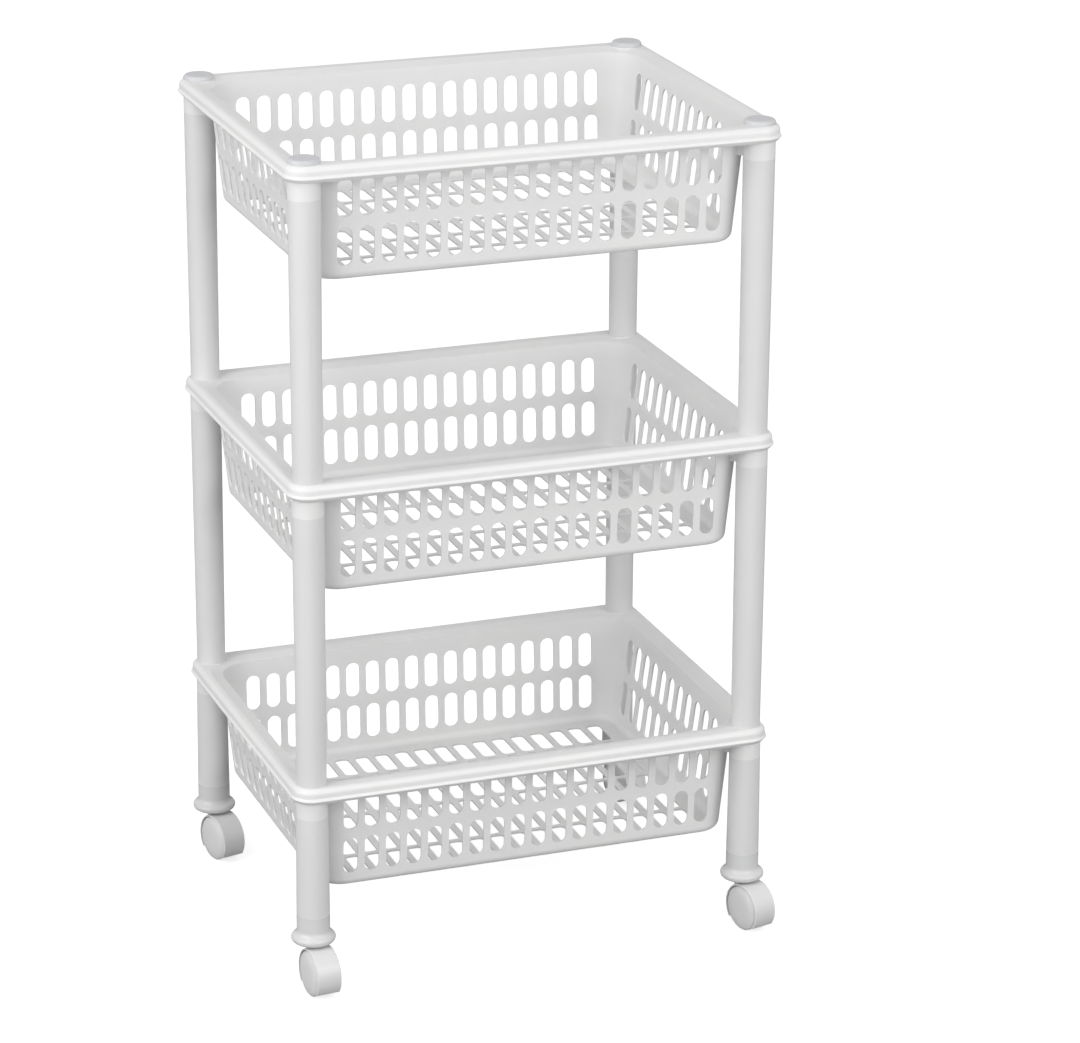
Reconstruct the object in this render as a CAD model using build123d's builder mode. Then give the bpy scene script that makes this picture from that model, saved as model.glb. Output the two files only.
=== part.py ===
from build123d import *
import os
from math import cos, radians, sin, sqrt

# Rolling pantry cart: three slotted baskets on four plug-together posts, on twin-wheel casters.
# Millimetres. The origin is on the floor, midway between the four posts.
# +X runs along the long side, +Y to the back and +Z up.

# ---- whole cart ----
post_spacing_x = 380.0
post_spacing_y = 290.0
lowest_rim_z = 181.0
tier_pitch = 258.0

# ---- basket rim and corner collars ----
collar_r = 13.0
collar_length = 28.0
collar_bore_r = 10.5
rim_reach = 3.3
rim_shoulder_r = 4.5
bead_reach = 1.5
bead_top_drop = 7.6
bead_drop = 9.8
rim_height = 13.0
bead_round = 0.8
apron_thickness = 3.4
deck_thickness = 5.4
deck_slope_width = 10.5
deck_slope_drop = 3.0
web_thickness = 3.0

# ---- basket body ----
basket_depth = 100.0
wall = 1.7
floor_thickness = 1.6
side_wall_outset = 1.2
long_wall_inset = 5.0
side_wall_lean = 12.7
long_wall_lean = 4.5
body_corner_r_top = 32.0
body_corner_r_bottom = 22.0
bottom_edge_r = 7.0
floor_edge_r = 5.4

# ---- slots ----
slot_width = 12.4
wall_slot_length = 31.5
wall_slot_rows = 2
wall_slot_row_pitch = 39.5
wall_slot_first_drop = 17.0
long_slot_count = 18
long_slot_pitch = 18.2
side_slot_count = 12
side_slot_pitch = 19.4
floor_slot_length = 36.0
floor_slot_corner_r = 4.0
floor_slot_rows = 6
floor_slot_row_pitch = 40.0

# ---- tubes, legs and caps ----
tube_foot_inset = 0.8
spigot_clearance = 0.1
spigot_length = 13.0
spigot_wall = 1.8
tube_wall = 2.2
bore_cone = 6.0
leg_foot_outset = 0.7
cap_inset = 0.1
cap_height = 3.9
cap_round = 2.9
cap_plug_length = 11.0
cap_plug_wall = 1.8

# ---- flanged feet that hold the casters ----
foot_hood_gap = 1.2
foot_length = 24.9
foot_flare_rise = 12.1
foot_flange_rise = 4.6
flange_reach = 4.6
flare_end_inset = 1.8
flare_end_rise = 2.8
foot_bottom_inset = 1.7
foot_plug_length = 12.0

# ---- casters ----
wheel_r = 19.0
caster_trail = 13.0
stem_r = 4.0
stem_clearance = 0.06
swivel_gap = 0.3
stem_rise = 21.0
stem_chamfer = 0.8
ring_height = 2.4
ring_groove_depth = 0.8
ring_clearance = 0.05
ring_drop = 4.0
ring_gap_angle = 40.0
hood_clearance = 0.8
hood_wall = 1.4
hood_half_width = 10.4
hood_floor_gap = 6.4
hood_web_half = 2.6
hood_edge_r = 1.0
boss_r = 6.2
axle_r = 2.0
axle_hole_clearance = 0.02
wheel_bore_clearance = 0.06
wheel_side_gap = 0.3
wheel_hub_r = 5.0
wheel_rim_thickness = 2.4
wheel_width = 7.2
wheel_dome = 2.3
wheel_face = 2.4
wheel_edge_r = 0.8
axle_end_gap = 0.3
caster_heading = {
    "front_left": -84.7,
    "front_right": -75.5,
    "back_left": -75.6,
    "back_right": -80.0,
}

# ---- sizes that follow ----
half_x = post_spacing_x / 2
half_y = post_spacing_y / 2
rim_z = {
    "bottom": lowest_rim_z,
    "middle": lowest_rim_z + tier_pitch,
    "top": lowest_rim_z + 2 * tier_pitch,
}
posts = {
    "front_left": (-half_x, -half_y),
    "front_right": (half_x, -half_y),
    "back_left": (-half_x, half_y),
    "back_right": (half_x, half_y),
}
rim_r = collar_r + rim_reach
spigot_r = collar_bore_r - spigot_clearance
tube_foot_r = collar_r - tube_foot_inset
leg_foot_r = collar_r + leg_foot_outset
cap_r = collar_r - cap_inset
flange_r = leg_foot_r + flange_reach
foot_bottom_r = leg_foot_r - foot_bottom_inset
well_r = wheel_r + hood_clearance
hood_r = well_r + hood_wall
foot_bottom_z = wheel_r + hood_r + foot_hood_gap
foot_flange_z = foot_bottom_z + foot_flange_rise
foot_flare_z = foot_bottom_z + foot_flare_rise
leg_bottom_z = foot_bottom_z + foot_length
body_half_x = half_x + side_wall_outset
body_half_y = half_y - long_wall_inset


def write(piece, name):
    piece.part.label = name
    export_step(piece.part, f"parts/{name}.step")


def ring_outline(corner_r):
    """Rounded rectangle whose corners are centred on the four posts."""
    RectangleRounded(post_spacing_x + 2 * corner_r, post_spacing_y + 2 * corner_r, corner_r)


def body_outline(drop, inset):
    """The basket body's rounded outline at a depth below the rim."""
    share = drop / basket_depth
    long_side = 2 * (body_half_x - side_wall_lean * share - inset)
    short_side = 2 * (body_half_y - long_wall_lean * share - inset)
    corner = body_corner_r_top + (body_corner_r_bottom - body_corner_r_top) * share
    RectangleRounded(long_side, short_side, corner - inset)


def upright(x, y, z):
    """Drawing plane through a vertical axis: sketch x is the radius and sketch y the height."""
    return Plane(origin=(x, y, z), x_dir=(1, 0, 0), z_dir=(0, -1, 0))


def spin(x, y):
    revolve(axis=Axis((x, y, 0), (0, 0, 1)))


def make_basket(tier):
    top = rim_z[tier]
    floor_top = top - basket_depth + floor_thickness
    with BuildPart() as basket:
        # Rim: a rounded deck with an outer apron that ends in a bead.
        with BuildSketch(Plane.XY.offset(top - bead_top_drop)):
            ring_outline(rim_r)
        extrude(amount=bead_top_drop)
        fillet(basket.edges().group_by(Axis.Z)[-1], rim_shoulder_r)
        for high, low, r_high, r_low in (
            (bead_top_drop, bead_drop, rim_r, rim_r + bead_reach),
            (bead_drop, rim_height, rim_r + bead_reach, rim_r - bead_reach),
        ):
            with BuildSketch(Plane.XY.offset(top - high)):
                ring_outline(r_high)
            with BuildSketch(Plane.XY.offset(top - low)):
                ring_outline(r_low)
            loft(ruled=True)
        bead_edges = basket.edges().filter_by_position(Axis.Z, top - bead_drop - 0.01, top - bead_drop + 0.01)
        fillet(bead_edges, bead_round)
        with BuildSketch(Plane.XY.offset(top - rim_height)):
            ring_outline(rim_r - apron_thickness)
        extrude(amount=rim_height - deck_thickness, mode=Mode.SUBTRACT)

        # Body, with a rounded bottom edge.
        with BuildSketch(Plane.XY.offset(top - basket_depth)):
            body_outline(basket_depth, 0)
        with BuildSketch(Plane.XY.offset(top - deck_slope_drop)):
            body_outline(deck_slope_drop, 0)
        loft(ruled=True)
        fillet(basket.edges().group_by(Axis.Z)[0], bottom_edge_r)

        # Webs that tie the corner collars to the body.
        web_height = collar_length - deck_slope_drop
        web_reach = body_corner_r_top
        for x, y in posts.values():
            inward = (-x / half_x, -y / half_y, 0)
            web_plane = Plane(origin=(x, y, top - collar_length), x_dir=inward, z_dir=(0, 0, 1))
            with BuildSketch(web_plane):
                Rectangle(web_reach, web_thickness, align=(Align.MIN, Align.CENTER))
            extrude(amount=web_height)

        # Inside of the body, and the deck's slope down to it.
        with BuildPart(mode=Mode.SUBTRACT) as inside:
            with BuildSketch(Plane.XY.offset(floor_top)):
                body_outline(basket_depth - floor_thickness, wall)
            with BuildSketch(Plane.XY.offset(top - deck_slope_drop)):
                body_outline(deck_slope_drop, wall)
            loft(ruled=True)
            fillet(inside.edges().group_by(Axis.Z)[0], floor_edge_r)
        with BuildSketch(Plane.XY.offset(top - deck_slope_drop)):
            body_outline(deck_slope_drop, wall)
        with BuildSketch(Plane.XY.offset(top + deck_slope_drop)):
            body_outline(deck_slope_drop, wall - 2 * deck_slope_width)
        loft(ruled=True, mode=Mode.SUBTRACT)

        # Corner collars, bored for the tubes' spigots.
        with BuildSketch(Plane.XY.offset(top - collar_length)):
            with Locations(*posts.values()):
                Circle(collar_r)
        extrude(amount=collar_length)
        with BuildSketch(Plane.XY.offset(top - collar_length)):
            with Locations(*posts.values()):
                Circle(collar_bore_r)
        extrude(amount=collar_length, mode=Mode.SUBTRACT)

        # Slots through both long walls, both short walls and the floor.
        rows_height = (wall_slot_rows - 1) * wall_slot_row_pitch + wall_slot_length
        rows_z = top - wall_slot_first_drop - rows_height / 2
        for plane, count, pitch, reach in (
            (Plane.XZ, long_slot_count, long_slot_pitch, post_spacing_y),
            (Plane.YZ, side_slot_count, side_slot_pitch, post_spacing_x),
        ):
            with BuildSketch(plane):
                with Locations((0, rows_z)):
                    with GridLocations(pitch, wall_slot_row_pitch, count, wall_slot_rows):
                        SlotOverall(wall_slot_length, slot_width, rotation=90)
            extrude(amount=reach, both=True, mode=Mode.SUBTRACT)
        with BuildSketch(Plane.XY.offset(top - basket_depth)):
            with GridLocations(long_slot_pitch, floor_slot_row_pitch, long_slot_count, floor_slot_rows):
                RectangleRounded(slot_width, floor_slot_length, floor_slot_corner_r)
        extrude(amount=floor_thickness, mode=Mode.SUBTRACT)
    write(basket, f"basket_{tier}")


def make_tube(name, x, y, seat_z, shoulder_z):
    """Post between two baskets, with a spigot at each end that plugs into a collar."""
    inner_r = spigot_r - spigot_wall
    body_inner_r = tube_foot_r - tube_wall
    with BuildPart() as tube:
        with BuildSketch(upright(x, y, 0)):
            Polygon(
                (inner_r, seat_z - spigot_length),
                (spigot_r, seat_z - spigot_length),
                (spigot_r, seat_z),
                (tube_foot_r, seat_z),
                (collar_r, shoulder_z),
                (spigot_r, shoulder_z),
                (spigot_r, shoulder_z + spigot_length),
                (inner_r, shoulder_z + spigot_length),
                (inner_r, shoulder_z - tube_wall),
                (body_inner_r, shoulder_z - tube_wall - bore_cone),
                (body_inner_r, seat_z + tube_wall + bore_cone),
                (inner_r, seat_z + tube_wall),
                align=None,
            )
        spin(x, y)
    write(tube, name)


def make_leg(corner, x, y):
    """Leg below the lowest basket: a spigot on top and an open end that takes the foot's plug."""
    shoulder_z = rim_z["bottom"] - collar_length
    inner_r = spigot_r - spigot_wall
    with BuildPart() as leg:
        with BuildSketch(upright(x, y, 0)):
            Polygon(
                (collar_bore_r, leg_bottom_z),
                (leg_foot_r, leg_bottom_z),
                (collar_r, shoulder_z),
                (spigot_r, shoulder_z),
                (spigot_r, shoulder_z + spigot_length),
                (inner_r, shoulder_z + spigot_length),
                (inner_r, shoulder_z - tube_wall),
                (collar_bore_r, shoulder_z - tube_wall - bore_cone),
                align=None,
            )
        spin(x, y)
    write(leg, f"leg_{corner}")


def make_cap(corner, x, y):
    """Shallow domed cap with a hollow plug, on the top basket's collar."""
    seat_z = rim_z["top"]
    plug_inner_r = spigot_r - cap_plug_wall
    with BuildPart() as cap:
        with BuildSketch(upright(x, y, 0)):
            with BuildLine():
                Polyline(
                    (0, seat_z + cap_height),
                    (0, seat_z),
                    (plug_inner_r, seat_z),
                    (plug_inner_r, seat_z - cap_plug_length),
                    (spigot_r, seat_z - cap_plug_length),
                    (spigot_r, seat_z),
                    (cap_r, seat_z),
                    (cap_r, seat_z + cap_height - cap_round),
                )
                RadiusArc(
                    (cap_r, seat_z + cap_height - cap_round),
                    (cap_r - cap_round, seat_z + cap_height),
                    -cap_round,
                )
                Line((cap_r - cap_round, seat_z + cap_height), (0, seat_z + cap_height))
            make_face()
        spin(x, y)
    write(cap, f"cap_{corner}")


def make_foot(corner, x, y):
    """Flanged foot that plugs into the leg and holds the caster's stem in a blind bore."""
    bore_r = stem_r + stem_clearance
    bore_end_z = foot_bottom_z + stem_rise
    plug_r = collar_bore_r - spigot_clearance
    flare_end = (flange_r - flare_end_inset, foot_flange_z + flare_end_rise)
    with BuildPart() as foot:
        with BuildSketch(upright(x, y, 0)):
            with BuildLine():
                Polyline(
                    (bore_r, foot_bottom_z),
                    (bore_r, bore_end_z),
                    (0, bore_end_z),
                    (0, leg_bottom_z + foot_plug_length),
                    (plug_r, leg_bottom_z + foot_plug_length),
                    (plug_r, leg_bottom_z),
                    (leg_foot_r, leg_bottom_z),
                    (leg_foot_r, foot_flare_z),
                )
                flare = TangentArc((leg_foot_r, foot_flare_z), flare_end, tangent=(0, -1))
                TangentArc(flare @ 1, (flange_r, foot_flange_z), tangent=flare % 1)
                Spline(
                    (flange_r, foot_flange_z),
                    (foot_bottom_r, foot_bottom_z),
                    tangents=[(0, -1), (-1, -0.1)],
                )
                Line((foot_bottom_r, foot_bottom_z), (bore_r, foot_bottom_z))
            make_face()
        spin(x, y)
    write(foot, f"foot_{corner}")


class Caster:
    """Places of one caster: its swivel axis, the way it trails and its axle's centre."""

    def __init__(self, corner):
        self.corner = corner
        self.x, self.y = posts[corner]
        turn = radians(caster_heading[corner])
        self.trail = Vector(cos(turn), sin(turn), 0)
        self.along = Vector(-sin(turn), cos(turn), 0)
        self.centre = Vector(self.x, self.y, wheel_r) + self.trail * caster_trail
        self.boss_top = foot_bottom_z - swivel_gap
        self.stem_top = self.boss_top + stem_rise
        self.stem_bottom = wheel_r + sqrt(well_r**2 - (caster_trail - stem_r) ** 2)

    def side_plane(self):
        """Plane across the axle: sketch x points along the trail and sketch y up."""
        return Plane(origin=self.centre, x_dir=self.trail, z_dir=-self.along)

    def axle_plane(self, side):
        """Plane through the axle: sketch x runs outwards along it and sketch y is the radius."""
        outward = self.along * side
        return Plane(origin=self.centre, x_dir=outward, z_dir=outward.cross(Vector(0, 0, 1)))

    def axle_axis(self):
        return Axis(self.centre, self.along)


def make_hood(caster):
    """Hood over both wheels, with a middle web for the axle and a boss for the stem."""
    with BuildPart() as hood:
        with BuildSketch(caster.side_plane()):
            Circle(hood_r)
            with Locations((0, hood_floor_gap - wheel_r)):
                Rectangle(2 * hood_r, hood_r, align=(Align.CENTER, Align.MAX), mode=Mode.SUBTRACT)
        extrude(amount=hood_half_width, both=True)
        round_edges = hood.edges().filter_by(GeomType.CIRCLE)
        fillet(round_edges, hood_edge_r)
        with BuildSketch(Plane.XY.offset(wheel_r)):
            with Locations((caster.x, caster.y)):
                Circle(boss_r)
        extrude(amount=caster.boss_top - wheel_r)
        for side in (-1, 1):
            well_plane = caster.side_plane().offset(side * hood_web_half)
            with BuildSketch(well_plane):
                Circle(well_r)
            extrude(amount=side * 2 * hood_half_width, mode=Mode.SUBTRACT)
        with BuildSketch(caster.side_plane()):
            Circle(axle_r + axle_hole_clearance)
        extrude(amount=hood_half_width, both=True, mode=Mode.SUBTRACT)
        with BuildSketch(Plane.XY.offset(caster.stem_bottom)):
            with Locations((caster.x, caster.y)):
                Circle(stem_r + axle_hole_clearance)
        extrude(amount=caster.boss_top - caster.stem_bottom, mode=Mode.SUBTRACT)
    write(hood, f"hood_{caster.corner}")


def make_stem(caster):
    """Steel stem that turns in the foot, with a groove for its grip ring."""
    ring_top = caster.stem_top - ring_drop
    groove_r = stem_r - ring_groove_depth
    with BuildPart() as stem:
        with BuildSketch(upright(caster.x, caster.y, 0)):
            Polygon(
                (0, caster.stem_bottom),
                (stem_r, caster.stem_bottom),
                (stem_r, ring_top - ring_height),
                (groove_r, ring_top - ring_height),
                (groove_r, ring_top),
                (stem_r, ring_top),
                (stem_r, caster.stem_top - stem_chamfer),
                (stem_r - stem_chamfer, caster.stem_top),
                (0, caster.stem_top),
                align=None,
            )
        spin(caster.x, caster.y)
    write(stem, f"stem_{caster.corner}")

    with BuildPart() as ring:
        with BuildSketch(upright(caster.x, caster.y, 0)):
            Polygon(
                (groove_r + ring_clearance, ring_top - ring_height + ring_clearance),
                (stem_r - ring_clearance, ring_top - ring_height + ring_clearance),
                (stem_r - ring_clearance, ring_top - ring_clearance),
                (groove_r + ring_clearance, ring_top - ring_clearance),
                align=None,
            )
        revolve(axis=Axis((caster.x, caster.y, 0), (0, 0, 1)), revolution_arc=360 - ring_gap_angle)
    write(ring, f"grip_ring_{caster.corner}")


def make_axle(caster, axle_half):
    with BuildPart() as axle:
        with BuildSketch(caster.side_plane()):
            Circle(axle_r)
        extrude(amount=axle_half, both=True)
    write(axle, f"axle_{caster.corner}")


def make_wheel(caster, side_name, side):
    """Wheel with a hub, an open back and a domed outer face; its bore is blind."""
    inner_x = hood_web_half + wheel_side_gap
    outer_x = inner_x + wheel_width
    bore_r = axle_r + wheel_bore_clearance
    bore_end = outer_x + wheel_dome - wheel_face
    recess_x = outer_x - wheel_face
    with BuildPart() as wheel:
        with BuildSketch(caster.axle_plane(side)):
            with BuildLine():
                Polyline(
                    (outer_x + wheel_dome, 0),
                    (bore_end, 0),
                    (bore_end, bore_r),
                    (inner_x, bore_r),
                    (inner_x, wheel_hub_r),
                    (recess_x, wheel_hub_r),
                    (recess_x, wheel_r - wheel_rim_thickness),
                    (inner_x, wheel_r - wheel_rim_thickness),
                    (inner_x, wheel_r - wheel_edge_r),
                    (inner_x + wheel_edge_r, wheel_r),
                    (outer_x - wheel_edge_r, wheel_r),
                    (outer_x, wheel_r - wheel_edge_r),
                )
                Spline(
                    (outer_x, wheel_r - wheel_edge_r),
                    (outer_x + wheel_dome, 0),
                    tangents=[(1, -1.6), (0, -1)],
                )
            make_face()
        revolve(axis=caster.axle_axis())
    write(wheel, f"wheel_{side_name}_{caster.corner}")


def make_caster(corner):
    caster = Caster(corner)
    blind_end = hood_web_half + wheel_side_gap + wheel_width + wheel_dome - wheel_face
    make_hood(caster)
    make_stem(caster)
    make_axle(caster, blind_end - axle_end_gap)
    make_wheel(caster, "left", 1)
    make_wheel(caster, "right", -1)


os.makedirs("parts", exist_ok=True)
for tier in rim_z:
    make_basket(tier)
for corner, (x, y) in posts.items():
    make_tube(f"tube_lower_{corner}", x, y, rim_z["bottom"], rim_z["middle"] - collar_length)
    make_tube(f"tube_upper_{corner}", x, y, rim_z["middle"], rim_z["top"] - collar_length)
    make_leg(corner, x, y)
    make_cap(corner, x, y)
    make_foot(corner, x, y)
    make_caster(corner)
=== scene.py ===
"""Looks of the rolling pantry cart: moulded white plastic, plated steel, a pale studio and the camera."""
from math import radians

import bpy
from mathutils import Matrix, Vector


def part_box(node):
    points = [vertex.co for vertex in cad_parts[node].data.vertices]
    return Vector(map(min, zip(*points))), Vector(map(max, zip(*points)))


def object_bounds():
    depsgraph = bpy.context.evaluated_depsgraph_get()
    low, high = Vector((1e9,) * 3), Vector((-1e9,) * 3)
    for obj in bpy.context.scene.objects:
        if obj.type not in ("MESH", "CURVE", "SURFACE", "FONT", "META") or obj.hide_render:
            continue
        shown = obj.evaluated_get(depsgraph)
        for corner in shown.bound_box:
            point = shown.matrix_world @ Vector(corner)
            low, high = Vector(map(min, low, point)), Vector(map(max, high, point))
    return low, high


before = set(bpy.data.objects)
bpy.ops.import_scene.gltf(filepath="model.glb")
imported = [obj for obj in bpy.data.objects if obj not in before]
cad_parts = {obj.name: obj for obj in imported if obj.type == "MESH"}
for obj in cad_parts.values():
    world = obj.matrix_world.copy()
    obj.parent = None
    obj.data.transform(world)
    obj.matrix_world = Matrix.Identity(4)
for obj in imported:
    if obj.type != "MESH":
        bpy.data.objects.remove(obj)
cad_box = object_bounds()

CORNERS = ("front_left", "front_right", "back_left", "back_right")
TIERS = ("bottom", "middle", "top")

# ---- camera, in metres and degrees ----
CAMERA_PLACE = (-1.1123, -3.1338, 1.5123)
CAMERA_TURN = -20.503
CAMERA_DROP = 19.502
CAMERA_ROLL = 0.377
CAMERA_LENS = 139.92
CAMERA_SENSOR = 36.0

# ---- studio: strengths, metres and watts ----
MIDDLE = (cad_box[0] + cad_box[1]) / 2
HORIZON_LIGHT = 1.0
SKY_LIGHT = 0.61
HORIZON_TOP = 0.03
SKY_BOTTOM = 0.10
FLOOR_SIZE = 60.0
FLOOR_ROUGHNESS = 0.9
SEEN_FLOOR_GREY = 0.5
SEEN_FLOOR_GLOW = 0.72
BOUNCE_FLOOR_GREY = 0.32
BOUNCE_FLOOR_HEIGHT = -0.001
# Each soft box: its place, width, height and power.
SOFT_BOXES = {
    "left_box": ((-1.764, -0.713, 0.968), 1.6, 1.2, 17.5),
    "front_box": ((0.704, -1.743, 1.034), 1.6, 1.2, 15.0),
    "high_left_box": ((-1.3, -0.6, 2.4), 0.5, 0.5, 8.0),
    "high_right_box": ((0.1, -1.4, 2.5), 0.4, 0.4, 1.5),
}


# ---- shader helpers ----
class Value:
    """A number that varies over a surface. Arithmetic on it adds Math nodes."""

    def __init__(self, finish, socket):
        self.finish = finish
        self.socket = socket

    def math(self, operation, *terms):
        terms = [t.socket if isinstance(t, Value) else t for t in terms]
        node = self.finish.node("ShaderNodeMath", {"operation": operation}, dict(enumerate(terms)))
        return Value(self.finish, node.outputs[0])

    def __add__(self, other):
        return self.math("ADD", self, other)

    __radd__ = __add__

    def __sub__(self, other):
        return self.math("SUBTRACT", self, other)

    def __rsub__(self, other):
        return self.math("SUBTRACT", other, self)

    def __mul__(self, other):
        return self.math("MULTIPLY", self, other)

    __rmul__ = __mul__

    def __abs__(self):
        return self.math("ABSOLUTE", self)

    def under(self, limit):
        """1 where the value is under the limit, and 0 elsewhere."""
        return self.math("LESS_THAN", self, limit)


class Finish:
    """A node material with one Principled shader, patterned on Object coordinates."""

    def __init__(self, name):
        self.material = bpy.data.materials.new(name)
        self.material.use_nodes = True
        self.tree = self.material.node_tree
        self.tree.nodes.clear()
        self.output = self.node("ShaderNodeOutputMaterial")
        self.place = self.node("ShaderNodeTexCoord").outputs["Object"]

    def node(self, kind, settings=None, sockets=None):
        """Adds a node, sets its settings, then its sockets' values or links."""
        made = self.tree.nodes.new(kind)
        for name, value in (settings or {}).items():
            setattr(made, name, value)
        for name, value in (sockets or {}).items():
            value = value.socket if isinstance(value, Value) else value
            if isinstance(value, bpy.types.NodeSocket):
                self.tree.links.new(value, made.inputs[name])
            else:
                made.inputs[name].default_value = value
        return made

    def axes(self):
        """The Object coordinates, in metres, as three values."""
        split = self.node("ShaderNodeSeparateXYZ", sockets={0: self.place})
        return [Value(self, socket) for socket in split.outputs]

    def stretched(self, x, y, z):
        """The Object coordinates times a scale along each axis."""
        sockets = {"Vector": self.place, "Scale": (x, y, z)}
        return self.node("ShaderNodeMapping", sockets=sockets).outputs[0]

    def noise(self, scale, detail=2.0, rough=0.5, vector=None):
        """Noise about 0, from roughly -0.5 to 0.5; the scale is in waves per metre."""
        sockets = {"Vector": vector or self.place, "Scale": scale, "Detail": detail, "Roughness": rough}
        made = self.node("ShaderNodeTexNoise", sockets=sockets)
        return Value(self, made.outputs["Factor" if "Factor" in made.outputs else "Fac"]) - 0.5

    def blend(self, share, first, second):
        """A colour between two colours."""
        settings = {"data_type": "RGBA", "clamp_factor": True}
        mixed = self.node("ShaderNodeMix", settings, {0: share, 6: first, 7: second})
        return mixed.outputs[2]

    def relief(self, height, depth):
        """A bump from a height field of about unit size, depth in metres."""
        sockets = {"Strength": 1.0, "Distance": depth, "Height": height}
        return self.node("ShaderNodeBump", sockets=sockets).outputs[0]

    def shade(self, sockets):
        shader = self.node("ShaderNodeBsdfPrincipled", sockets=sockets)
        self.tree.links.new(shader.outputs[0], self.output.inputs[0])
        return self.material


def rgb(red, green, blue):
    return (red, green, blue, 1.0)


# ---- materials ----
PARTING_HALF_WIDTH = 0.00016


def basket_plastic():
    """Satin polypropylene: near-white, faintly clouded by the melt's flow, with a fine grain."""
    finish = Finish("basket_satin_white")
    cloud = finish.noise(9.0, 3.0)
    flow = finish.noise(14.0, 4.0, vector=finish.stretched(1.0, 1.0, 4.0))
    grain = finish.noise(1700.0, 3.0, 0.6)
    wave = finish.noise(38.0, 1.0)
    tint = cloud * 1.1 + flow * 0.7 + 0.5
    return finish.shade({
        "Base Color": finish.blend(tint, rgb(0.748, 0.748, 0.754), rgb(0.788, 0.782, 0.774)),
        "Roughness": 0.40 + flow * 0.10 + grain * 0.08,
        "IOR": 1.49,
        "Normal": finish.relief(grain * 0.12 + wave, 0.00018),
    })


def post_plastic(half_gap):
    """Satin tubes: streaks drawn along the post and a hair-thin parting line down the front and back."""
    finish = Finish("post_satin_white")
    x = finish.axes()[0]
    side = abs(x) - half_gap
    streak = finish.noise(1.0, 3.0, vector=finish.stretched(520.0, 520.0, 5.0))
    cloud = finish.noise(11.0, 2.0)
    wave = finish.noise(1.0, 1.0, vector=finish.stretched(60.0, 60.0, 9.0))
    grain = finish.noise(1500.0, 2.0, 0.6)
    parting = abs(side).under(PARTING_HALF_WIDTH)
    tint = cloud * 1.0 + streak * 0.5 + 0.5 - parting * 0.2
    return finish.shade({
        "Base Color": finish.blend(tint, rgb(0.672, 0.673, 0.680), rgb(0.708, 0.706, 0.700)),
        "Roughness": 0.36 + streak * 0.10 + cloud * 0.06,
        "IOR": 1.49,
        "Normal": finish.relief(wave + streak * 0.10 + grain * 0.06 + parting * 0.5, 0.00016),
    })


def glossy_plastic(name, low, high, roughness, wave_depth):
    """Polished mould, so smoother and glossier, with slow sink waves."""
    finish = Finish(name)
    cloud = finish.noise(60.0, 2.0)
    wave = finish.noise(110.0, 1.0)
    speck = finish.noise(2600.0, 2.0, 0.6)
    return finish.shade({
        "Base Color": finish.blend(cloud * 1.4 + 0.5, low, high),
        "Roughness": roughness + cloud * 0.08 + speck * 0.05,
        "IOR": 1.50,
        "Normal": finish.relief(wave + speck * 0.05, wave_depth),
    })


def plated_steel():
    """Zinc-plated turned steel, with the tool's fine rings."""
    finish = Finish("zinc_plated_steel")
    rings = finish.noise(1.0, 2.0, vector=finish.stretched(30.0, 30.0, 5200.0))
    cloud = finish.noise(260.0, 3.0)
    return finish.shade({
        "Base Color": finish.blend(cloud + 0.5, rgb(0.56, 0.57, 0.60), rgb(0.70, 0.70, 0.71)),
        "Metallic": 1.0,
        "Roughness": 0.34 + rings * 0.2 + cloud * 0.1,
        "Normal": finish.relief(rings, 0.00002),
    })


def paint(node, material):
    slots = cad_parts[node].data.materials
    slots.clear()
    slots.append(material)


cap_low, cap_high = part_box("cap_front_right")
half_gap_x = (cap_low.x + cap_high.x) / 2
basket_white = basket_plastic()
post_white = post_plastic(half_gap_x)
cap_white = glossy_plastic(
    "cap_white", rgb(0.560, 0.566, 0.584), rgb(0.596, 0.600, 0.612), 0.34, 0.00008)
# Painted shade: the foot is the same plastic as the legs, its colour set about 6% darker than theirs to
# tone down the flange's lit brightness.
foot_shaded_white = glossy_plastic(
    "foot_gloss_white_painted_shade", rgb(0.634, 0.636, 0.644), rgb(0.668, 0.667, 0.664), 0.17, 0.00006)
hood_white = glossy_plastic(
    "hood_nylon_white", rgb(0.676, 0.674, 0.680), rgb(0.712, 0.706, 0.700), 0.30, 0.00008)
wheel_white = glossy_plastic(
    "wheel_nylon_white", rgb(0.690, 0.690, 0.698), rgb(0.726, 0.722, 0.720), 0.33, 0.00008)
steel = plated_steel()

for tier in TIERS:
    paint(f"basket_{tier}", basket_white)
for corner in CORNERS:
    for node in ("tube_lower", "tube_upper", "leg"):
        paint(f"{node}_{corner}", post_white)
    paint(f"cap_{corner}", cap_white)
    paint(f"foot_{corner}", foot_shaded_white)
    paint(f"hood_{corner}", hood_white)
    for node in ("stem", "grip_ring", "axle"):
        paint(f"{node}_{corner}", steel)
    for side in ("left", "right"):
        paint(f"wheel_{side}_{corner}", wheel_white)


# ---- studio ----
def wide_floor(name, height, grey, glow, unseen_by):
    """A level plane of one grey, hidden from the rays that are named."""
    bpy.ops.object.select_all(action="DESELECT")
    bpy.ops.mesh.primitive_plane_add(size=FLOOR_SIZE, location=(0.0, 0.0, height))
    floor = bpy.context.object
    floor.name = name
    finish = Finish(name)
    floor.data.materials.append(finish.shade({
        "Base Color": rgb(grey, grey, grey),
        "Roughness": FLOOR_ROUGHNESS,
        "Emission Color": rgb(1.0, 1.0, 1.0),
        "Emission Strength": glow,
    }))
    for ray in unseen_by:
        setattr(floor, f"visible_{ray}", False)


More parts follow.
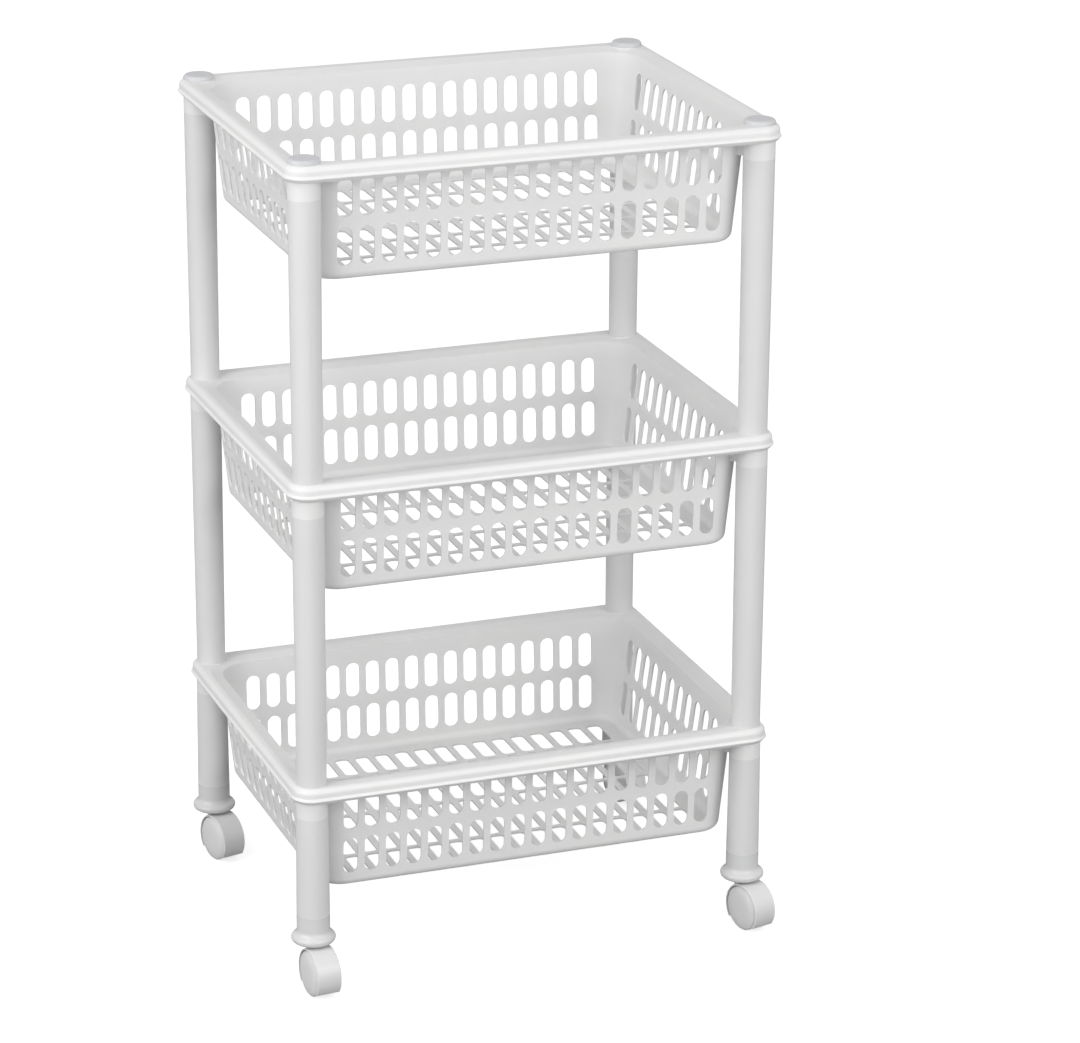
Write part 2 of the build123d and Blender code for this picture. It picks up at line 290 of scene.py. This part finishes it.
def sky():
    """A pale surround: white at the horizon and softer overhead."""
    world = bpy.data.worlds.new("studio_surround")
    bpy.context.scene.world = world
    world.use_nodes = True
    nodes, links = world.node_tree.nodes, world.node_tree.links
    background = nodes["Background"]
    split = nodes.new("ShaderNodeSeparateXYZ")
    links.new(nodes.new("ShaderNodeTexCoord").outputs["Generated"], split.inputs[0])
    fade = nodes.new("ShaderNodeMapRange")
    fade.inputs["From Min"].default_value = HORIZON_TOP
    fade.inputs["From Max"].default_value = SKY_BOTTOM
    fade.inputs["To Min"].default_value = HORIZON_LIGHT
    fade.inputs["To Max"].default_value = SKY_LIGHT
    links.new(split.outputs["Z"], fade.inputs["Value"])
    links.new(fade.outputs[0], background.inputs["Strength"])
    background.inputs["Color"].default_value = rgb(1.0, 1.0, 1.0)


def soft_box(name, place, width, height, power):
    """An area light turned to the middle of the cart."""
    bpy.ops.object.light_add(type="AREA", location=place)
    light = bpy.context.object
    light.name = name
    light.visible_camera = False
    light.data.shape = "RECTANGLE"
    light.data.size = width
    light.data.size_y = height
    light.data.energy = power
    aim = MIDDLE - light.location
    light.rotation_euler = aim.to_track_quat("-Z", "Y").to_euler()


# The camera sees a white floor. A darker one just below it is what bounces the light.
wide_floor(
    "studio_floor", 0.0, SEEN_FLOOR_GREY, SEEN_FLOOR_GLOW,
    ("diffuse", "glossy", "transmission", "shadow"))
wide_floor("bounce_floor", BOUNCE_FLOOR_HEIGHT, BOUNCE_FLOOR_GREY, 0.0, ("camera",))
sky()
for box_name, (place, width, height, power) in SOFT_BOXES.items():
    soft_box(box_name, place, width, height, power)

# ---- camera ----
bpy.ops.object.camera_add(location=CAMERA_PLACE)
camera = bpy.context.object
camera.name = "front_camera"
camera.data.sensor_width = CAMERA_SENSOR
camera.data.lens = CAMERA_LENS
turn = Matrix.Rotation(radians(CAMERA_TURN), 4, "Z")
tilt = Matrix.Rotation(radians(90.0 - CAMERA_DROP), 4, "X")
roll = Matrix.Rotation(radians(CAMERA_ROLL), 4, "Z")
camera.rotation_euler = (turn @ tilt @ roll).to_euler()
bpy.context.scene.camera = camera
bpy.context.scene.view_settings.view_transform = "Standard"
